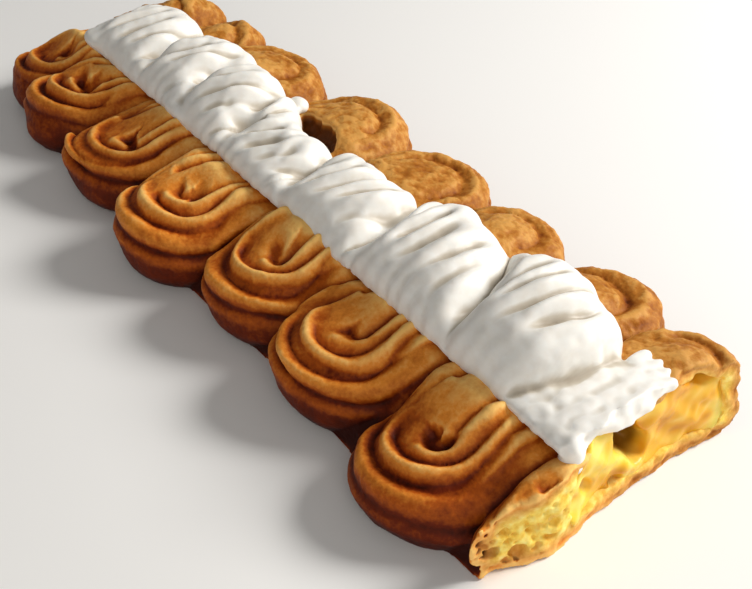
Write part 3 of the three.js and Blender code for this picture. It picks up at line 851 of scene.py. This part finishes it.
class Nodes:
    """A short way to build a material's nodes."""

    def __init__(self, name):
        self.material = bpy.data.materials.new(name)
        self.material.use_nodes = True
        self.tree = self.material.node_tree
        self.shader = self.tree.nodes["Principled BSDF"]

    def add(self, kind, inputs=(), **settings):
        node = self.tree.nodes.new(kind)
        for key, value in settings.items():
            setattr(node, key, value)
        for key, value in dict(inputs).items():
            self.put(node.inputs[key], value)
        return node

    def put(self, socket, value):
        if isinstance(value, bpy.types.NodeSocket):
            self.tree.links.new(value, socket)
        elif isinstance(value, bpy.types.Node):
            self.tree.links.new(value.outputs[0], socket)
        else:
            socket.default_value = value

    def surface(self, inputs):
        """Sets the shader's own inputs, and gives the finished material."""
        for key, value in inputs.items():
            self.put(self.shader.inputs[key], value)
        return self.material

    def math(self, operation, a, b=0.0, clamp=False):
        return self.add("ShaderNodeMath", {0: a, 1: b}, operation=operation, use_clamp=clamp).outputs[0]

    def past(self, value, middle, factor, clamp=False):
        """How far a value is past a middle, times a factor."""
        return self.math("MULTIPLY", self.math("SUBTRACT", value, middle), factor, clamp)

    def mix(self, share, a, b, blend="MIX"):
        node = self.add("ShaderNodeMix", data_type="RGBA", blend_type=blend)
        self.put(node.inputs[0], share)
        self.put(node.inputs[6], a)
        self.put(node.inputs[7], b)
        return node.outputs[2]

    def ramp(self, value, stops):
        """A colour for each value. A stop is a place from 0 to 1, and a colour as rgb takes it."""
        node = self.add("ShaderNodeValToRGB", {0: value})
        elements = node.color_ramp.elements
        while len(elements) < len(stops):
            elements.new(0.5)
        for element, (place, *colour) in zip(elements, stops):
            element.position = place
            element.color = rgb(*colour)
        return node.outputs[0]

    def noise(self, scale, detail=3.0, rough=0.55, vector=None):
        inputs = {"Scale": scale, "Detail": detail, "Roughness": rough}
        if vector is not None:
            inputs["Vector"] = vector
        return self.add("ShaderNodeTexNoise", inputs).outputs[0]

    def channels(self, attribute):
        colour = self.add("ShaderNodeVertexColor", layer_name=attribute)
        return self.add("ShaderNodeSeparateColor", {0: colour.outputs[0]}).outputs

    def place(self):
        """Where a point is in the piece, in metres."""
        return self.add("ShaderNodeTexCoord").outputs["Object"]


# Colours of the baked crust, from its deepest groove, darkened as painted shade, to its highest
# ridge, lightened as a painted highlight: the crumb row's, which is browner as it baked and redder as
# painted shade for the row that faces away from the light, and the filled row's, duller to offset the
# light that falls on it.
BROWN_SHADED_ROW_CRUST = [
    (0.0, 56, 10, 0),
    (0.25, 106, 33, 2),
    (0.5, 176, 84, 16),
    (0.72, 226, 140, 50),
    (1.0, 248, 196, 112),
]
GOLDEN_LIT_ROW_CRUST = [
    (0.0, 84, 34, 4),
    (0.25, 122, 60, 11),
    (0.5, 152, 88, 23),
    (0.75, 178, 114, 42),
    (1.0, 206, 150, 76),
]
# Colours of the open crumb, of the tan layer between it and the crust, and of torn dough, from its
# rim into the hollow, darker deeper in as painted shade.
OPEN_CRUMB = [(0.3, 234, 184, 66), (0.5, 251, 217, 104), (0.7, 255, 238, 146)]
TAN_CRUMB = [(0.3, 206, 138, 62), (0.7, 240, 184, 100)]
SHADED_TORN_DOUGH = [(0.15, 238, 196, 120), (0.45, 150, 88, 28), (0.9, 84, 42, 10)]
# Colours of the custard: of the run, and of the filling, which is more orange.
RUN_CUSTARD = [(0.25, 228, 166, 30), (0.5, 245, 204, 64), (0.8, 252, 230, 118)]
FILLING_CUSTARD = [(0.25, 206, 130, 14), (0.5, 236, 172, 36), (0.8, 246, 200, 80)]
# A darker custard, painted as shade on what lies behind the cut, in the pockets.
SHADED_POCKET_CUSTARD = rgb(150, 104, 24)
# Colours of the cream, and the painted shade that its creases multiply them by.
WHIPPED_CREAM = [(0.3, 240, 236, 228), (0.7, 247, 246, 241)]
CREAM_CREASE_SHADE = [(0.12, 168, 156, 140), (0.36, 214, 207, 196), (0.5, 255, 255, 255)]


def crust_material():
    nodes = Nodes("choux_crust")
    place = nodes.place()
    relief, height, depth = nodes.channels("form")
    crumb, lit_row, torn = nodes.channels("kind")
    blotch = nodes.noise(55, 3, vector=place)
    speck = nodes.noise(900, 3, vector=place)
    # The relief paints grooves darker as shade and crests lighter as highlight; blotch and speck are
    # the crust's own uneven browning.
    bake_and_painted_light = nodes.math("ADD", relief, nodes.past(blotch, 0.5, 0.35))
    bake_and_painted_light = nodes.math("ADD", bake_and_painted_light, nodes.past(speck, 0.5, 0.3))
    # Lower points are painted darker, as shade on the low walls.
    bake_and_painted_light = nodes.math("ADD", bake_and_painted_light, nodes.past(height, 0.62, 0.95))
    mottle = nodes.past(nodes.noise(210, 4, 0.65, place), 0.5, 1.3)
    # The crumb row takes the ramp with painted shade, the filled row the one dulled against the light
    # that falls on it.
    shaded_row_colour = nodes.ramp(bake_and_painted_light, BROWN_SHADED_ROW_CRUST)
    lit_row_colour = nodes.ramp(nodes.math("ADD", bake_and_painted_light, mottle), GOLDEN_LIT_ROW_CRUST)
    crust = nodes.mix(lit_row, shaded_row_colour, lit_row_colour)
    grain = nodes.noise(420, 4, vector=place)
    inner_share = nodes.past(depth, 0.2, 2.6, clamp=True)
    inner = nodes.mix(inner_share, nodes.ramp(grain, TAN_CRUMB), nodes.ramp(grain, OPEN_CRUMB))
    colour = nodes.mix(crumb, crust, inner)
    # Torn dough is painted darker deeper into its hollow, as shade.
    hollow = nodes.ramp(torn, SHADED_TORN_DOUGH)
    colour = nodes.mix(nodes.math("MULTIPLY", torn, 5.0, clamp=True), colour, hollow)
    inputs = {
        "Base Color": colour,
        "Roughness": nodes.math("ADD", 0.55, nodes.math("MULTIPLY", crumb, 0.3)),
        "Specular IOR Level": 0.13,
        "Subsurface Weight": 0.08,
        "Subsurface Radius": (0.004, 0.002, 0.0008),
        "Subsurface Scale": 0.4,
        "Normal": nodes.add("ShaderNodeBump", {"Height": speck, "Strength": 0.5, "Distance": 0.0004}),
    }
    return nodes.surface(inputs)


def custard_material():
    nodes = Nodes("set_custard")
    filling, deep, smear = nodes.channels("kind")
    blotch = nodes.noise(110, 4, vector=nodes.place())
    tone = nodes.math("ADD", nodes.math("MULTIPLY", smear, 0.6), nodes.math("MULTIPLY", blotch, 0.5))
    colour = nodes.mix(filling, nodes.ramp(tone, RUN_CUSTARD), nodes.ramp(tone, FILLING_CUSTARD))
    inputs = {
        # What lies behind the cut is mixed towards the painted shade colour.
        "Base Color": nodes.mix(deep, colour, SHADED_POCKET_CUSTARD),
        "Roughness": 0.34,
        "Specular IOR Level": 0.3,
        "Subsurface Weight": 0.25,
        "Subsurface Radius": (0.006, 0.003, 0.0008),
        "Subsurface Scale": 0.5,
    }
    return nodes.surface(inputs)


def cream_material():
    nodes = Nodes("whipped_cream")
    relief = nodes.channels("form")[0]
    colour = nodes.ramp(nodes.noise(300, 3, vector=nodes.place()), WHIPPED_CREAM)
    inputs = {
        # Creases are painted darker, as shade, by their relief.
        "Base Color": nodes.mix(1.0, colour, nodes.ramp(relief, CREAM_CREASE_SHADE), blend="MULTIPLY"),
        "Roughness": 0.45,
        "Subsurface Weight": 0.15,
        "Subsurface Radius": (0.004, 0.0035, 0.003),
        "Subsurface Scale": 0.4,
    }
    return nodes.surface(inputs)


# ---------------------------------------------------------------- the pieces


def make_pastry():
    """The colours tell the relief, height and depth of each point under the crust (form), and how
    much it is open crumb, the filled row's crust, or torn dough (kind)."""
    grid, lifts = pastry_grid()
    carve_tear(grid)
    carve_bubbles(grid)
    points, quads = grid.mesh()
    normals = normals_of(points, quads)
    depth = np.maximum(dough_at(points, lifts), CRUST["under"] - points[:, 2])
    filled_row = smooth(0.5 + points[:, 1] / ROW_FADE)
    grain = lerp(*CRUST_GRAIN_FACTORS, filled_row) * lumps(points, CRUST_GRAIN)
    bumps = lumps(points, CRUST_LUMPS) + grain
    above_plate = points[:, 2] > 0.3
    points = points + normals * (bumps * above_plate)[:, None]
    x, y, z = points.T
    relief = relief_of(points, quads, **CRUST_RELIEF)
    # The height channel paints the low walls darker as shade; on the cut face it is held high, so the
    # crumb there is not darkened.
    facing_cut = smooth((normals_of(points, quads)[:, 0] - 0.45) / 0.3)
    face = facing_cut * smooth((x - CUT_X + 8) / 4)
    form = (relief, np.maximum(z / 32, 0.85 * face), np.clip(-depth / 10, 0, 1))
    at_cut = smooth((x - CUT_ZONE["start"]) / CUT_ZONE["run"])
    crumb = smooth((-depth - CRUST["thickness"]) / CRUST["fade"]) * at_cut
    torn = smooth((-depth - 0.4) / 5) * (1 - at_cut) * (z > TORN_LOWEST)
    kind = (crumb, smooth(0.5 + y / ROW_FADE), torn)
    colours = {"form": form, "kind": kind}
    piece("pastry_bar", points, quads, colours, crust_material(), "pastry")


def make_custard():
    """The colours tell how much of each point is filling, how deep it lies behind the cut, which is
    painted darker as shade in the pockets, and how light a smear is."""
    points, quads = custard_grid().mesh()
    points = points + normals_of(points, quads) * lumps(points, CUSTARD_LUMPS)[:, None]
    x, y, z = points.T
    # Painted shade: the custard behind the cut, in the pockets, is darkened.
    deep = smooth((cut_at(y) - x - 2.5) / 5)
    smear = 0.5 + 0.5 * noise(points * (0.4, 1, 1.6), 5.5, 23)
    # A deep yellow spot under the slanting pocket, and a pale patch low on the filling's outer side.
    spot = np.exp(-((y - 4) ** 2 + (z - 7) ** 2) / 14)
    pale = smooth((y - 37) / 5) * smooth((17 - z) / 6)
    filling = smooth((y - 5 - 3 * noise(points, 6.0, 24)) / 6) * (1 - 0.8 * pale)
    kind = (np.maximum(filling, spot), deep, smear - 0.7 * spot + 0.5 * pale)
    piece("custard_filling", points, quads, {"kind": kind}, custard_material(), "custard")


def make_cream():
    """The colour tells the relief of each point, which paints the creases darker as shade."""
    points, quads = cream_grid().mesh()
    tail = smooth((points[:, 0] - TAIL_GRAIN["start"]) / TAIL_GRAIN["run"])
    grain = lerp(*TAIL_GRAIN["heights"], tail) * lumps(points, CREAM_GRAIN)
    bumps = lumps(points, CREAM_LUMPS) + grain
    points = points + normals_of(points, quads) * bumps[:, None]
    form = (relief_of(points, quads, **CREAM_RELIEF),)
    piece("cream_band", points, quads, {"form": form}, cream_material(), "whipped_cream")


# ---------------------------------------------------------------- camera, light and floor


def make_camera():
    data = bpy.data.cameras.new("camera")
    data.sensor_width = 36
    data.lens = LENS
    data.clip_start = 0.01
    camera = linked("camera", data)
    aimed(camera, (np.array(CAMERA_PLACE) + SHIFT) * MM, CAMERA_AIM)
    bpy.context.scene.camera = camera


def make_light(name, place, size, power, colour):
    data = bpy.data.lights.new(name, "AREA")
    data.shape = "DISK"
    data.size = size
    data.energy = power
    data.color = colour
    aimed(linked(name, data), place, -Vector(place))


def make_world():
    world = bpy.data.worlds.new("studio")
    world.use_nodes = True
    background = world.node_tree.nodes["Background"]
    background.inputs["Color"].default_value = (1.0, 0.985, 0.96, 1)
    background.inputs["Strength"].default_value = 0.2
    bpy.context.scene.world = world
    bpy.context.scene.view_settings.view_transform = "Standard"


def make_floor():
    mesh = bpy.data.meshes.new("floor")
    sides = [(-1, -1), (1, -1), (1, 1), (-1, 1)]
    mesh.from_pydata([(FLOOR_HALF * x, FLOOR_HALF * y, 0) for x, y in sides], [], [(0, 1, 2, 3)])
    mesh.materials.append(Nodes("floor").surface({"Base Color": (0.9, 0.9, 0.89, 1), "Roughness": 0.7}))
    floor = linked("floor", mesh)
    floor.location.z = FLOOR_Z


make_camera()
for light, (place, size, power, colour) in LIGHTS.items():
    make_light(light, place, size, power, colour)
make_world()
make_floor()
make_pastry()
make_custard()
make_cream()
